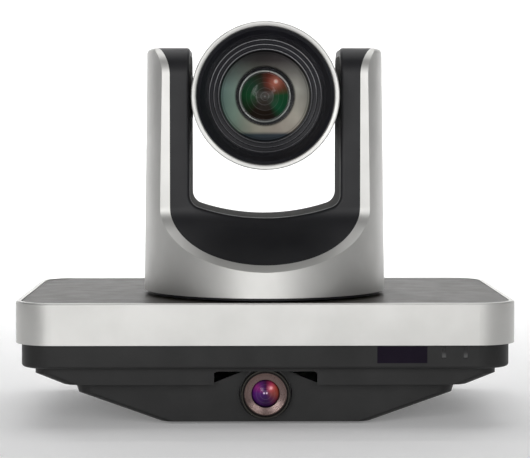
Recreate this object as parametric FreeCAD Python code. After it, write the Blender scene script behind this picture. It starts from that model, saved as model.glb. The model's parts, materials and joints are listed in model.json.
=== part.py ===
"""Dual-lens tracking camera: a pan and tilt camera on a wide base with a fixed panoramic lens.

Frame: millimetres, +Z up, +X to the camera's left as seen from the front, the lens looks along -Y.
The origin is on the standing surface, under the middle of the base.
Every piece is written to parts/NAME.step.
"""
import FreeCAD
import Part
import math
import os

V = FreeCAD.Vector

# ---- driving dimensions: base ----------------------------------------------------------------
BASE_W = 280.0            # width of the silver band
BASE_D = 180.0            # depth of the silver band
BASE_R = 22.0             # plan corner radius of the band
HATCH_INSET, HATCH_FRONT, HATCH_BACK = 20.9, 30.0, 28.0   # opening in the tray's floor
FOOT_STAND = 1.5          # how far the feet stand out below the chin
CHIN_H = 21.9             # bottom cover
SKIRT_H = 9.5             # step above it
TUB_H = 13.4              # visible height of the tray under the band
BAND_H = 23.4             # silver band
BAND_CHAMFER = 0.8        # along the band's upper outer edge
BAND_WALL = 3.0
PLATE_T = 2.5             # dark top plate
PLATE_DROP = 0.4          # the plate lies this far below the band's rim
SHELL_WALL = 2.5          # plastic walls

SKIRT_INSET = 11.1        # skirt's top edge, per side in from the band
SKIRT_LIP = 3.4           # upright edge at the skirt's top, above its sloping sides
SKIRT_BOTTOM_INSET = 26.5 # per side in from the band, at the foot of the slope
SKIRT_R = 10.0
SKIRT_FRONT = 9.0         # set back from the band's front
SKIRT_BACK = 6.0
CHIN_TOP_INSET = 32.8     # bottom cover's top edge, per side in from the band
CHIN_EDGE_INSET = 34.7    # where its upright edge turns into the slope
CHIN_EDGE_H = 16.1        # height of that turn above the underside
CHIN_BOTTOM_INSET = 80.0
CHIN_R = 9.0
CHIN_FRONT = 18.0
CHIN_BACK = 8.0

IR_W, IR_H, IR_INSET = 27.7, 9.3, 64.4
PIPE_W, PIPE_H = 2.2, 7.0
PIPE_INSETS = (41.3, 29.3)
WINDOW_GAP = 0.8          # below the band

PANO_Z = 16.1             # panoramic lens centre above the underside
PANO_RING_R = 13.9
PANO_GAP = 1.0            # shadow gap round the ring
PANO_GLASS_R = 7.8
PANO_STAND = 6.3          # ring's front ahead of the chin's front wall
NOTCH_W = 59.0            # notch in the skirt round that lens
NOTCH_STRIP = 2.0         # strip of skirt left above the notch

BAY_HALF = 70.0           # opening for the sockets at the back
BAY_BOTTOM = 11.0         # above the underside
PANEL_T = 1.5
BOARD_T = 1.6
STUD_H = 10.0             # board above the mounting plate
MOUNT_PLATE_T = 2.0
FOOT_R = 6.0
FOOT_INSET_X, FOOT_INSET_Y = 14.0, 16.0   # from the flat underside's sides and its front
FOOT_POCKET = 0.8
TRIPOD_THREAD_R = 3.175   # 1/4 inch tripod thread
TRIPOD_INSERT_R = 6.0
TRIPOD_LENGTH = 8.0

# ---- driving dimensions: pan drive -------------------------------------------------------------
YOKE_SETBACK = 4.6        # yoke's front behind the band's front
SPINDLE_R = 15.0
SPINDLE_BORE = 9.0
BEARING_R = 21.0
BEARING_W = 7.0
RACE_T = 1.8
RUN_GAP = 0.05            # radial running clearance
PAN_PULLEY_R = 28.0
PAN_PINION_R = 7.0
PAN_MOTOR_X = 62.0
PAN_MOTOR_R = 17.5
BELT_T = 1.2
BELT_W = 6.0
BRIDGE_T = 3.0

# ---- driving dimensions: yoke ------------------------------------------------------------------
ARM_T = 27.6              # from the gap to the drum's outside, at the widest
YOKE_TAPER = 1.9          # the drum's radius is this much smaller at its top
YOKE_LIFT = 2.2           # underside above the platform rim
ARM_ABOVE = 27.8          # arms' top above the tilt axis
YOKE_ROUND = 3.0
HEAD_GAP = 1.4            # between the head and each arm
FLOOR_CLEAR = 4.45        # under the head's lowest corner when it looks down
FLOOR_R = 120.0
FLOOR_CORNER = 7.5
FACE_INSET = 17.7         # outer edge of the arms' flat front, out from the gap
SCOOP_RISE = 6.1          # arms' front starts to run forward this far above the gap's floor
SCOOP_DROP = 34.9         # height of that forward run
SILVER_RIM = 5.4          # silver left round the black insert, measured along the drum's radius
INSERT_WRAP = 4.5         # how far the black insert runs round into the gap
INSERT_ROUND = 2.0        # rounding of the edge where it does
YOKE_WALL = 2.5
ARM_FRONT_R = 16.0        # rounding from the arms' flat front to their top

# ---- driving dimensions: head ------------------------------------------------------------------
TILT_H = 114.5            # tilt axis above the platform rim
TILT_DOWN = 30.0          # degrees that the head can look down
HEAD_R = 41.4
HEAD_WALL = 2.4
HEAD_FRONT = 58.0         # ring ahead of the tilt axis
HEAD_SPLIT = -14.0        # parting plane of the two head shells
HEAD_BACK = 48.0
HEAD_BACK_R = 14.0        # rounding of the rear shell
HOOD_IN_R = 32.3
HOOD_DEPTH = 12.0
STEP_R = 30.3
GLASS_R = 25.7            # visible radius of the front glass
BARREL_R = 29.5
ZOOM_R = 16.7
ZOOM_LENS_R = 13.6
SLIDE_GAP = 0.3
SHAFT_R = 6.0
TILT_BEARING_WALL = 5.0
COLLAR_R = 12.5
TILT_PULLEY_R = 14.0
TILT_PINION_R = 5.0
TILT_MOTOR_R = 14.0
TILT_MOTOR_L = 26.0
TILT_MOTOR_H = 24.0       # motor axis above the platform rim
SHAFT_IN = 10.4           # shaft's inner end, in from the head's outside
FRAME_ARM_GAP = 9.2       # yoke frame's uprights, out from the gap
FRAME_ARM_T = 4.0
FRAME_ARM_HALF = 22.0
FRAME_BASE_T = 4.0
TILT_BELT_GAP = 3.5       # belt, out from the upright
TILT_BELT_W = 4.0

# ---- derived places ----------------------------------------------------------------------------
UNDER = FOOT_STAND
CHIN_TOP = UNDER + CHIN_H
SKIRT_TOP = CHIN_TOP + SKIRT_H
TUB_TOP = SKIRT_TOP + TUB_H
RIM = TUB_TOP + BAND_H                  # platform rim, the top of the band
PLATE_TOP = RIM - PLATE_DROP
PLATE_UNDER = PLATE_TOP - PLATE_T
LEDGE_UNDER = PLATE_UNDER - 2.0
FIT = 0.2                               # gap per side where one shell sits in another
FLOOR_TOP = SKIRT_TOP + SHELL_WALL      # top of the tray's floor
FRONT = -BASE_D / 2
BACK = BASE_D / 2
TUB_FRONT = FRONT + BAND_WALL + FIT
SKIRT_FRONT_Y = FRONT + SKIRT_FRONT
SKIRT_BACK_Y = BACK - SKIRT_BACK
CHIN_FRONT_Y = FRONT + CHIN_FRONT
CHIN_BACK_Y = BACK - CHIN_BACK
PANO_AXIS_Z = UNDER + PANO_Z
PLATE_Z = UNDER + SHELL_WALL            # mounting plate lies on the chin's floor
BOARD_Z = PLATE_Z + MOUNT_PLATE_T + STUD_H
BOARD_TOP = BOARD_Z + BOARD_T
PANEL_Y = CHIN_BACK_Y - SHELL_WALL - PANEL_T
SKIRT_BOTTOM_HALF = BASE_W / 2 - SKIRT_BOTTOM_INSET
CHIN_TOP_HALF = BASE_W / 2 - CHIN_TOP_INSET
CHIN_EDGE_HALF = BASE_W / 2 - CHIN_EDGE_INSET
CHIN_BOTTOM_HALF = BASE_W / 2 - CHIN_BOTTOM_INSET
IR_X = BASE_W / 2 - IR_INSET
PIPE_X = [BASE_W / 2 - inset for inset in PIPE_INSETS]
FOOT_X = CHIN_BOTTOM_HALF - FOOT_INSET_X
TILT_Z = RIM + TILT_H
YOKE_BOTTOM = RIM + YOKE_LIFT
YOKE_TOP_Z = TILT_Z + ARM_ABOVE
GAP_HALF = HEAD_R + HEAD_GAP
YOKE_R = GAP_HALF + ARM_T
YOKE_TOP_R = YOKE_R - YOKE_TAPER
FACE_HALF = GAP_HALF + FACE_INSET
INSERT_R = YOKE_R - SILVER_RIM
HEAD_LOW = HEAD_R * math.cos(math.radians(TILT_DOWN)) + HEAD_FRONT * math.sin(math.radians(TILT_DOWN))
FLOOR_H = TILT_H - HEAD_LOW - FLOOR_CLEAR
SCOOP_TOP = FLOOR_H + SCOOP_RISE
SCOOP_BOTTOM = SCOOP_TOP - SCOOP_DROP
PAN_Y = FRONT + YOKE_SETBACK + YOKE_R
PAN_CENTRE = V(0, PAN_Y, 0)
TILT_BEARING_R = SHAFT_R + TILT_BEARING_WALL
FRAME_ARM_X = GAP_HALF + FRAME_ARM_GAP
TILT_BELT_X = FRAME_ARM_X + FRAME_ARM_T + TILT_BELT_GAP
SHAFT_START = HEAD_R - SHAFT_IN


# ---- helpers -----------------------------------------------------------------------------------
def save(name, shape):
    """Write one piece, refusing a broken or empty solid."""
    if not shape.isValid() or shape.Volume < 1.0:
        raise RuntimeError(name + " is not a valid solid")
    shape.exportStep("parts/" + name + ".step")
    print(name, round(shape.Volume), len(shape.Solids), "solid(s)")


def box(x0, y0, z0, x1, y1, z1):
    return Part.makeBox(x1 - x0, y1 - y0, z1 - z0, V(x0, y0, z0))


def cyl(radius, height, base, direction=V(0, 0, 1)):
    return Part.makeCylinder(radius, height, base, direction)


def tube(outer, inner, height, base, direction=V(0, 0, 1)):
    return cyl(outer, height, base, direction).cut(cyl(inner, height, base, direction))


def rect_wire(x0, y0, x1, y1, radius, z):
    """Rounded rectangle at height z."""
    k = radius * (1 - math.sqrt(0.5))
    lines = [
        (V(x0 + radius, y0, z), V(x1 - radius, y0, z)),
        (V(x1, y0 + radius, z), V(x1, y1 - radius, z)),
        (V(x1 - radius, y1, z), V(x0 + radius, y1, z)),
        (V(x0, y1 - radius, z), V(x0, y0 + radius, z)),
    ]
    middles = [V(x1 - k, y0 + k, z), V(x1 - k, y1 - k, z), V(x0 + k, y1 - k, z), V(x0 + k, y0 + k, z)]
    edges = []
    for i in range(4):
        start, end = lines[i]
        edges.append(Part.makeLine(start, end))
        edges.append(Part.Arc(end, middles[i], lines[(i + 1) % 4][0]).toShape())
    return Part.Wire(edges)


def slab(x0, y0, x1, y1, radius, z0, z1):
    """Upright rounded-rectangle prism."""
    return Part.Face(rect_wire(x0, y0, x1, y1, radius, z0)).extrude(V(0, 0, z1 - z0))


def taper(low, high):
    """Ruled solid between two rounded rectangles (x0, y0, x1, y1, radius, z)."""
    return Part.makeLoft([rect_wire(*low), rect_wire(*high)], True, True)


def revolve(points, origin, axis, radial):
    """Solid of revolution from (radius, along) points round axis through origin."""
    ring = [origin + radial * r + axis * a for r, a in points]
    face = Part.Face(Part.makePolygon(ring + [ring[0]]))
    return face.revolve(origin, axis, 360)


def spin_z(points, centre=PAN_CENTRE):
    """Revolve (radius, z) points round an upright axis."""
    return revolve(points, centre, V(0, 0, 1), V(1, 0, 0))


def spin_y(points, z, y):
    """Revolve (radius, ahead) points round a lens axis; ahead is measured along -Y from y."""
    return revolve(points, V(0, y, z), V(0, -1, 0), V(1, 0, 0))


def prism_y(wire_points, y0, y1):
    """Extrude an X-Z polygon from y0 to y1."""
    corners = [V(x, y0, z) for x, z in wire_points]
    return Part.Face(Part.makePolygon(corners + [corners[0]])).extrude(V(0, y1 - y0, 0))


def group(shapes):
    return Part.makeCompound(shapes)


# ---- base shells -------------------------------------------------------------------------------
def band_hollow(z0, z1, inset=BAND_WALL):
    half_w, half_d = BASE_W / 2 - inset, BASE_D / 2 - inset
    return slab(-half_w, -half_d, half_w, half_d, BASE_R - inset, z0, z1)


def trim_band():
    """Silver frame: a wall with an inner ledge that carries the top plate."""
    body = band_hollow(TUB_TOP, RIM, 0)
    rim_edges = [e for e in body.Edges if min(v.Z for v in e.Vertexes) > RIM - 0.01]
    body = body.makeChamfer(BAND_CHAMFER, rim_edges)
    body = body.cut(band_hollow(TUB_TOP - 1, LEDGE_UNDER))
    body = body.cut(band_hollow(LEDGE_UNDER - 1, PLATE_UNDER, BAND_WALL + 3.0))
    return body.cut(band_hollow(PLATE_UNDER, RIM + 1))


def top_plate():
    plate = band_hollow(PLATE_UNDER, PLATE_TOP, BAND_WALL + FIT)
    return plate.cut(cyl(HUB_R + 1.0, 20, V(0, PAN_Y, PLATE_UNDER - 5)))


def tub_solid(inset, z0, z1):
    half_w = BASE_W / 2 - BAND_WALL - FIT - inset
    half_d = BASE_D / 2 - BAND_WALL - FIT - inset
    return slab(-half_w, -half_d, half_w, half_d, BASE_R - BAND_WALL - FIT - inset, z0, z1)


def front_windows(grow):
    """The infrared window and the two light pipes, cut or made through the tray's front wall."""
    top = TUB_TOP - WINDOW_GAP
    y0, y1 = TUB_FRONT - 0.2, TUB_FRONT + SHELL_WALL
    window = box(IR_X - IR_W / 2 - grow, y0, top - IR_H - grow, IR_X + IR_W / 2 + grow, y1, top + grow)
    pipes = [
        box(x - PIPE_W / 2 - grow, y0, top - PIPE_H - grow, x + PIPE_W / 2 + grow, y1, top + grow)
        for x in PIPE_X
    ]
    return window, pipes


def base_tub():
    """Tray under the band: its wall runs up inside the band to the ledge."""
    body = tub_solid(0, SKIRT_TOP, LEDGE_UNDER)
    low_edges = [e for e in body.Edges if max(v.Z for v in e.Vertexes) < SKIRT_TOP + 0.01]
    body = body.makeFillet(1.6, low_edges)
    body = body.cut(tub_solid(SHELL_WALL, FLOOR_TOP, LEDGE_UNDER + 1))
    hatch_half = CHIN_TOP_HALF - HATCH_INSET
    hatch = slab(-hatch_half, FRONT + HATCH_FRONT, hatch_half, BACK - HATCH_BACK, 10, SKIRT_TOP - 1, FLOOR_TOP + 1)
    body = body.cut(hatch)
    window, pipes = front_windows(0)
    return body.cut(window).cut(group(pipes)).cut(screw_holes(SCREW_R)).cut(rocker_cut())


def skirt_solid(inset):
    """Step under the tray: a short upright edge, then sides that slope in to the chin."""
    top_half = BASE_W / 2 - SKIRT_INSET - inset
    y0, y1 = SKIRT_FRONT_Y + inset, SKIRT_BACK_Y - inset
    radius = SKIRT_R - inset
    lip_z = SKIRT_TOP - SKIRT_LIP
    lip = slab(-top_half, y0, top_half, y1, radius, lip_z, SKIRT_TOP)
    low_half = SKIRT_BOTTOM_HALF - inset
    slope = taper((-low_half, y0, low_half, y1, radius, CHIN_TOP), (-top_half, y0, top_half, y1, radius, lip_z))
    return lip.fuse(slope)


def notch():
    """Room in the skirt for the panoramic lens, with rounded upper corners."""
    half = NOTCH_W / 2
    y = SKIRT_FRONT_Y - 1
    z1 = SKIRT_TOP - NOTCH_STRIP
    body = box(-half, y, CHIN_TOP - 1, half, y + 16, z1)
    corners = [e for e in body.Edges if abs(e.Vertexes[0].Z - z1) < 0.01 and e.Length < 17
               and abs(abs(e.Vertexes[0].X) - half) < 0.01 and abs(e.Vertexes[0].X - e.Vertexes[1].X) < 0.01]
    return body.makeFillet(3.0, corners)


def chin_skirt():
    """Frame with a ledge for the bottom cover and four bosses for the screws."""
    room = skirt_solid(SHELL_WALL).common(box(-BASE_W, FRONT, CHIN_TOP + SHELL_WALL, BASE_W, BACK, SKIRT_TOP))
    half = CHIN_TOP_HALF - SHELL_WALL - 1.5
    y0, y1 = CHIN_FRONT_Y + SHELL_WALL, CHIN_BACK_Y - SHELL_WALL
    opening = slab(-half, y0, half, y1, CHIN_R - SHELL_WALL, CHIN_TOP - 1, CHIN_TOP + SHELL_WALL + 1)
    bosses = [cyl(3.4, SKIRT_H, p + V(0, 0, CHIN_TOP)) for p in screw_places()]
    body = skirt_solid(0).cut(room).cut(opening).fuse(bosses)
    return body.cut(notch()).cut(bay()).cut(screw_holes(SCREW_R))


def chin_solid(inset, floor):
    """Bottom cover: a short upright edge, then sides that slope in to a flat underside."""
    y0, y1 = CHIN_FRONT_Y + inset, CHIN_BACK_Y - inset
    radius = CHIN_R - inset
    edge_z = UNDER + CHIN_EDGE_H
    top, edge, low = CHIN_TOP_HALF - inset, CHIN_EDGE_HALF - inset, CHIN_BOTTOM_HALF - inset
    upper = taper((-edge, y0, edge, y1, radius, edge_z), (-top, y0, top, y1, radius, CHIN_TOP))
    lower = taper((-low, y0, low, y1, radius, UNDER + floor), (-edge, y0, edge, y1, radius, edge_z))
    return upper.fuse(lower)


def bay():
    """Opening for the sockets, through the back wall."""
    return box(-BAY_HALF, PANEL_Y + PANEL_T, UNDER + BAY_BOTTOM, BAY_HALF, BACK, SKIRT_TOP)


def pano_tab():
    """Chin's front wall rising in the notch to carry the panoramic lens."""
    half = NOTCH_W / 2 - 0.5
    points = [(-half, CHIN_TOP), (half, CHIN_TOP), (13.0, SKIRT_TOP - 3.2), (-13.0, SKIRT_TOP - 3.2)]
    return prism_y(points, CHIN_FRONT_Y, CHIN_FRONT_Y + SHELL_WALL)


def foot_places():
    rows = (CHIN_FRONT_Y + FOOT_INSET_Y, CHIN_BACK_Y - FOOT_INSET_Y - 10)
    return [V(sx * FOOT_X, y, 0) for sx in (-1, 1) for y in rows]


def chin_cover():
    body = chin_solid(0, 0).cut(chin_solid(SHELL_WALL, SHELL_WALL)).fuse(pano_tab())
    hole = cyl(PANO_RING_R + PANO_GAP, 20, V(0, CHIN_FRONT_Y - 5, PANO_AXIS_Z), V(0, 1, 0))
    body = body.cut(hole).cut(bay())
    body = body.cut(group([cyl(FOOT_R, FOOT_POCKET, p + V(0, 0, UNDER)) for p in foot_places()]))
    return body.cut(cyl(TRIPOD_INSERT_R, SHELL_WALL + 1, V(0, 0, UNDER - 0.5)))


# ---- fasteners of the base ---------------------------------------------------------------------
SCREW_R = 1.5
SCREW_HEAD_R = 2.8
SCREW_HEAD_T = 1.6
SCREW_L = 10.0
SCREW_INSET = 5.5


def screw_places():
    """Screws that hold the tray to the chin's upper flange, from inside the tray."""
    x = SKIRT_BOTTOM_HALF - SCREW_INSET
    return [V(sx * x, y, 0) for sx in (-1, 1) for y in (SKIRT_FRONT_Y + 37, SKIRT_BACK_Y - 36)]


def screw_holes(radius):
    low = FLOOR_TOP - SCREW_L
    return group([cyl(radius, SCREW_L + 1, p + V(0, 0, low)) for p in screw_places()])


def base_screws():
    """Pan-head screws standing in the tray's floor."""
    return group([
        cyl(SCREW_R, SCREW_L, p + V(0, 0, FLOOR_TOP - SCREW_L)).fuse(
            cyl(SCREW_HEAD_R, SCREW_HEAD_T, p + V(0, 0, FLOOR_TOP)))
        for p in screw_places()
    ])


# ---- panoramic lens ----------------------------------------------------------------------------
PANO_FRONT_Y = CHIN_FRONT_Y - PANO_STAND
PANO_HOLDER_Y = CHIN_FRONT_Y + SHELL_WALL
PANO_HOLDER_T = 6.4
PANO_HOLDER_HALF = 14.5   # clear of the recesses beside the lens
PANO_GLASS_Y = PANO_FRONT_Y + 1.6
PANO_GLASS_T = 5.0


def panorama_bezel():
    """Metal ring whose grooved cone runs in to the glass."""
    r, g = PANO_RING_R, PANO_GLASS_R
    end = PANO_FRONT_Y - PANO_HOLDER_Y
    profile = [(r - 0.6, 0), (r, -0.6), (r, end), (g + 0.3, end), (g + 0.3, -4.0),
               (r - 2.2, -0.9), (r - 1.7, -0.9), (r - 1.5, 0)]
    return spin_y(profile, PANO_AXIS_Z, PANO_FRONT_Y)


def panorama_glass():
    """Domed front lens."""
    g = PANO_GLASS_R
    sag = 3.0
    cap_r = (g * g + sag * sag) / (2 * sag)
    ball = Part.makeSphere(cap_r, V(0, PANO_GLASS_Y + cap_r, PANO_AXIS_Z))
    stem = cyl(g, PANO_GLASS_T, V(0, PANO_GLASS_Y, PANO_AXIS_Z), V(0, 1, 0))
    return stem.common(ball)


def panorama_barrel():
    start = PANO_GLASS_Y + PANO_GLASS_T
    length = PANO_HOLDER_Y + PANO_HOLDER_T - start
    return tube(PANO_GLASS_R - 0.3, 5.5, length, V(0, start, PANO_AXIS_Z), V(0, 1, 0))


def panorama_holder():
    """Block behind the chin's front wall, holding the barrel on the board."""
    y0 = PANO_HOLDER_Y
    z0, z1 = PLATE_Z + MOUNT_PLATE_T + 0.3, SKIRT_TOP - 0.4
    body = box(-PANO_HOLDER_HALF, y0, z0, PANO_HOLDER_HALF, y0 + PANO_HOLDER_T, z1)
    return body.cut(cyl(PANO_GLASS_R - 0.3, 30, V(0, y0 - 10, PANO_AXIS_Z), V(0, 1, 0)))


def panorama_board():
    y0 = PANO_HOLDER_Y + PANO_HOLDER_T
    half = PANO_HOLDER_HALF - 0.5
    return box(-half, y0, PANO_AXIS_Z - 11, half, y0 + BOARD_T, PANO_AXIS_Z + 11)


# ---- mounting plate, board and sockets ---------------------------------------------------------
def mounting_plate():
    """Steel plate on the chin's floor with pressed-in studs for the main board."""
    half = CHIN_BOTTOM_HALF - 5.5
    y0, y1 = CHIN_FRONT_Y + 10, CHIN_BACK_Y - 14
    body = slab(-half, y0, half, y1, 8, PLATE_Z, PLATE_Z + MOUNT_PLATE_T)
    rows = (BOARD_FRONT_Y + 4, SOCKET_BACK - 29.5)
    studs = [cyl(3.0, STUD_H, V(sx * (half - 8), y, PLATE_Z + MOUNT_PLATE_T)) for sx in (-1, 1) for y in rows]
    body = body.fuse(studs)
    return body.cut(cyl(TRIPOD_INSERT_R, 10, V(0, 0, PLATE_Z - 1)))


def tripod_insert():
    body = cyl(TRIPOD_INSERT_R, TRIPOD_LENGTH, V(0, 0, UNDER))
    return body.cut(cyl(TRIPOD_THREAD_R, TRIPOD_LENGTH - 1.0, V(0, 0, UNDER)))


def rubber_feet():
    return group([cyl(FOOT_R - 0.1, FOOT_STAND + FOOT_POCKET, p) for p in foot_places()])


def main_board():
    half = BAY_HALF + 6
    return box(-half, BOARD_FRONT_Y, BOARD_Z, half, SOCKET_BACK, BOARD_TOP)


BOARD_FRONT_Y = CHIN_FRONT_Y + 30
SOCKET_BACK = PANEL_Y - 0.5
# name: centre x, width, height, depth, opening width, opening height, centre of the opening above the board
SOCKETS = {
    "hdmi_socket": (-14.0, 15.6, 6.2, 12.0, 14.2, 4.6, 3.1),
    "usb_socket": (6.0, 14.4, 7.0, 14.0, 12.6, 5.2, 3.5),
    "lan_socket": (28.0, 16.0, 13.4, 20.0, 11.8, 8.2, 6.2),
}
SDI_X, SDI_R, SDI_OUT = -34.0, 6.3, 9.5
RS232_X, RS232_W, RS232_R = 48.0, 14.0, 4.6
AUDIO_X, AUDIO_W, AUDIO_R = (-52.0, -60.0), 7.0, 1.8
DC_X, DC_W, DC_R, DC_PIN_R = 62.0, 9.0, 3.2, 1.1
SOCKET_Z = BOARD_TOP
CUT_GAP = 0.3
PANEL_FACE = PANEL_Y + PANEL_T


def open_socket(name):
    """Metal-shelled socket with an empty mouth that faces the back."""
    x, w, h, depth, ow, oh, oz = SOCKETS[name]
    y1 = PANEL_FACE + 0.4
    body = box(x - w / 2, y1 - depth, SOCKET_Z, x + w / 2, y1, SOCKET_Z + h)
    return body.cut(box(x - ow / 2, y1 - depth + 2.0, SOCKET_Z + oz - oh / 2, x + ow / 2, y1 + 1, SOCKET_Z + oz + oh / 2))


def round_z(half):
    return SOCKET_Z + half


def sdi_socket():
    """Bayonet coaxial socket: block, barrel with two lugs, and a hollow mouth with its pin."""
    z = round_z(SDI_R + 0.4)
    block = box(SDI_X - 7, PANEL_Y - 14, SOCKET_Z, SDI_X + 7, PANEL_Y, SOCKET_Z + 2 * SDI_R + 0.8)
    barrel = cyl(SDI_R - 1.5, SDI_OUT + PANEL_T, V(SDI_X, PANEL_Y, z), V(0, 1, 0))
    lugs = cyl(1.0, 2 * SDI_R - 0.8, V(SDI_X, PANEL_FACE + SDI_OUT - 3.5, z - SDI_R + 0.4))
    mouth = cyl(3.3, SDI_OUT, V(SDI_X, PANEL_FACE + 1.0, z), V(0, 1, 0))
    pin = cyl(0.7, SDI_OUT - 4, V(SDI_X, PANEL_FACE + 1.0, z), V(0, 1, 0))
    return block.fuse(barrel).fuse(lugs).cut(mouth).fuse(pin)


def rs232_socket():
    """Round multi-pin control socket."""
    z = round_z(RS232_W / 2 - 0.4)
    body = box(RS232_X - RS232_W / 2, PANEL_Y - 12, SOCKET_Z, RS232_X + RS232_W / 2, PANEL_Y, SOCKET_Z + RS232_W - 0.8)
    nose = cyl(6.0, PANEL_T + 0.4, V(RS232_X, PANEL_Y, z), V(0, 1, 0))
    mouth = cyl(RS232_R, 12, V(RS232_X, PANEL_Y - 8, z), V(0, 1, 0))
    key = box(RS232_X - 1.3, PANEL_Y - 8, z - 1.0, RS232_X + 1.3, PANEL_Y - 1, z + 1.0)
    return body.fuse(nose).cut(mouth).fuse(key)


def audio_sockets():
    """Two small jacks side by side, one in and one out."""
    shapes = []
    for x in AUDIO_X:
        z = round_z(AUDIO_W / 2)
        body = box(x - AUDIO_W / 2, PANEL_Y - 12, SOCKET_Z, x + AUDIO_W / 2, PANEL_Y, SOCKET_Z + AUDIO_W)
        nose = cyl(3.0, PANEL_T + 0.8, V(x, PANEL_Y, z), V(0, 1, 0))
        shapes.append(body.fuse(nose).cut(cyl(AUDIO_R, 14, V(x, PANEL_Y - 9, z), V(0, 1, 0))))
    return group(shapes)


def dc_jack():
    """Barrel power inlet with its centre pin."""
    z = round_z(5.2)
    body = box(DC_X - DC_W / 2, PANEL_Y - 14, SOCKET_Z, DC_X + DC_W / 2, PANEL_Y, SOCKET_Z + 10.4)
    nose = cyl(4.2, PANEL_T + 0.4, V(DC_X, PANEL_Y, z), V(0, 1, 0))
    mouth = cyl(DC_R, 20, V(DC_X, PANEL_Y - 9, z), V(0, 1, 0))
    pin = cyl(DC_PIN_R, 10, V(DC_X, PANEL_Y - 9, z), V(0, 1, 0))
    return body.fuse(nose).cut(mouth).fuse(pin)


def panel_cuts():
    """Clear holes for what passes through the back panel."""
    cuts = []
    for x, w, h, _, _, _, _ in SOCKETS.values():
        cuts.append(box(x - w / 2 - CUT_GAP, PANEL_Y - 1, SOCKET_Z - CUT_GAP, x + w / 2 + CUT_GAP, PANEL_FACE + 1,
                        SOCKET_Z + h + CUT_GAP))
    rounds = [(SDI_X, round_z(SDI_R + 0.4), SDI_R - 1.5), (RS232_X, round_z(RS232_W / 2 - 0.4), 6.0),
              (DC_X, round_z(5.2), 4.2)] + [(x, round_z(AUDIO_W / 2), 3.0) for x in AUDIO_X]
    for x, z, r in rounds:
        cuts.append(cyl(r + CUT_GAP, 4, V(x, PANEL_Y - 1, z), V(0, 1, 0)))
    return group(cuts)


def rear_panel():
    """Metal plate behind the bay, with a foot that stands on the mounting plate."""
    top = SKIRT_TOP - 0.3
    body = box(-BAY_HALF + FIT, PANEL_Y, UNDER + BAY_BOTTOM + FIT, BAY_HALF - FIT, PANEL_FACE, top)
    leg = box(-44, PANEL_Y, PLATE_Z + MOUNT_PLATE_T, 44, PANEL_FACE, UNDER + BAY_BOTTOM + 1)
    foot = box(-44, PANEL_Y - 22, PLATE_Z + MOUNT_PLATE_T, 44, PANEL_FACE, PLATE_Z + MOUNT_PLATE_T + PANEL_T)
    body = body.fuse(leg).fuse(foot).cut(panel_cuts())
    return body.cut(chin_solid(0, 0).cut(chin_solid(SHELL_WALL, SHELL_WALL)))


# ---- power switch: a rocker in a frame on the tray's back wall -----------------------------------
ROCKER_X = 44.0 - BASE_W / 2
ROCKER_Z = (SKIRT_TOP + TUB_TOP) / 2 + 0.3
ROCKER_W, ROCKER_H = 15.0, 8.0
ROCKER_PIN_R = 0.9
ROCKER_PIN_L = ROCKER_H + 1.8
ROCKER_FRAME = 1.6
TUB_BACK = BACK - BAND_WALL - FIT
ROCKER_AXIS_Y = TUB_BACK - 1.0


def rocker_frame():
    """Housing through the wall, open at the back, with a thin flange outside."""
    hw, hh = ROCKER_W / 2 + ROCKER_FRAME, ROCKER_H / 2 + ROCKER_FRAME - 0.4
    body = box(ROCKER_X - hw, TUB_BACK - 9, ROCKER_Z - hh, ROCKER_X + hw, TUB_BACK + 0.8, ROCKER_Z + hh)
    room = box(ROCKER_X - ROCKER_W / 2 - 0.3, TUB_BACK - 7.5, ROCKER_Z - ROCKER_H / 2 - 0.3,
               ROCKER_X + ROCKER_W / 2 + 0.3, TUB_BACK + 2, ROCKER_Z + ROCKER_H / 2 + 0.3)
    pivot = cyl(ROCKER_PIN_R + RUN_GAP, ROCKER_PIN_L, V(ROCKER_X, ROCKER_AXIS_Y, ROCKER_Z - ROCKER_PIN_L / 2))
    return body.cut(room).cut(pivot)


def power_rocker():
    """Rocker key that turns about an upright pin, with a shallow V on its face."""
    half = ROCKER_W / 2
    y0, y1 = ROCKER_AXIS_Y - 3.0, ROCKER_AXIS_Y + 2.6
    outline = [(-half + 0.6, y0), (half - 0.6, y0), (half - 0.2, y1), (0, y1 - 0.9), (-half + 0.2, y1)]
    z0, z1 = ROCKER_Z - ROCKER_H / 2, ROCKER_Z + ROCKER_H / 2
    corners = [V(ROCKER_X + x, y, z0) for x, y in outline]
    key = Part.Face(Part.makePolygon(corners + [corners[0]])).extrude(V(0, 0, z1 - z0))
    length = ROCKER_PIN_L - 0.2
    return key.fuse(cyl(ROCKER_PIN_R, length, V(ROCKER_X, ROCKER_AXIS_Y, ROCKER_Z - length / 2)))


def rocker_cut():
    hw, hh = ROCKER_W / 2 + ROCKER_FRAME, ROCKER_H / 2 + ROCKER_FRAME - 0.4
    return box(ROCKER_X - hw, TUB_BACK - 10, ROCKER_Z - hh, ROCKER_X + hw, TUB_BACK + 5, ROCKER_Z + hh)


def ir_window():
    return front_windows(0)[0]


def ir_receiver():
    """Remote-control receiver behind the window."""
    y0 = TUB_FRONT + SHELL_WALL + 0.5
    z = TUB_TOP - WINDOW_GAP - IR_H / 2
    can = box(IR_X - 5, y0, z - 4, IR_X + 5, y0 + 5, z + 4)
    return can.fuse(box(IR_X - 12, y0 + 5, z - 5, IR_X + 12, y0 + 6.6, z + 5))


def status_light_pipes():
    return group(front_windows(0)[1])


# ---- pan drive ---------------------------------------------------------------------------------
HUB_R = 36.0
BRIDGE_Z = PLATE_UNDER - 14.0
BEARING_Z = BRIDGE_Z + BRIDGE_T
PULLEY_Z = FLOOR_TOP + 4.0
PULLEY_T = BELT_W + 1.0


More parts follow.
